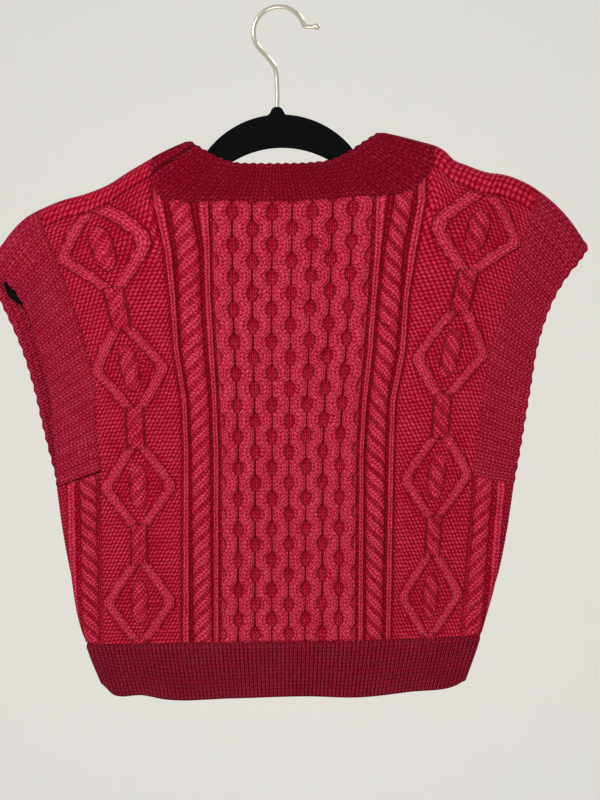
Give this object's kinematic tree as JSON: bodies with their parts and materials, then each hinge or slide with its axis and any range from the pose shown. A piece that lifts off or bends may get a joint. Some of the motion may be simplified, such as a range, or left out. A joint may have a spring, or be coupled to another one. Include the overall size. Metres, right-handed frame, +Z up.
{
  "type": "knitted sweater vest on a hanger",
  "caption": "Cropped cable-knit sweater vest with ribbed neckband, armhole bands and hem, hanging flat on a velvet hanger with a wire hook.",
  "frame": {"origin": "inside top of the hook's bend, where the hanger hangs on a nail or rod", "axes": "+Z up, from hem to hook; +X across the vest, to the right of someone looking at its back; -Y points out of the vest's back"},
  "size_m": [0.4803, 0.0275, 0.5519],
  "materials": {
    "cable_knit": "soft raspberry red wool-like yarn, cables and honeycomb in relief",
    "rib_knit": "the same yarn in rib stitches",
    "velvet": "short black flock, matte",
    "hook_metal": "polished plated wire, pale warm silver"
  },
  "bodies": {
    "root": {"back_panel": "cable_knit", "front_panel": "cable_knit", "hem_rib_back": "rib_knit", "hem_rib_front": "rib_knit", "neckband": "rib_knit", "armband_left": "rib_knit", "armband_right": "rib_knit", "hanger_body": "velvet", "hook_collar": "velvet", "hanger_hook": "hook_metal"}
  },
  "joints": []
}
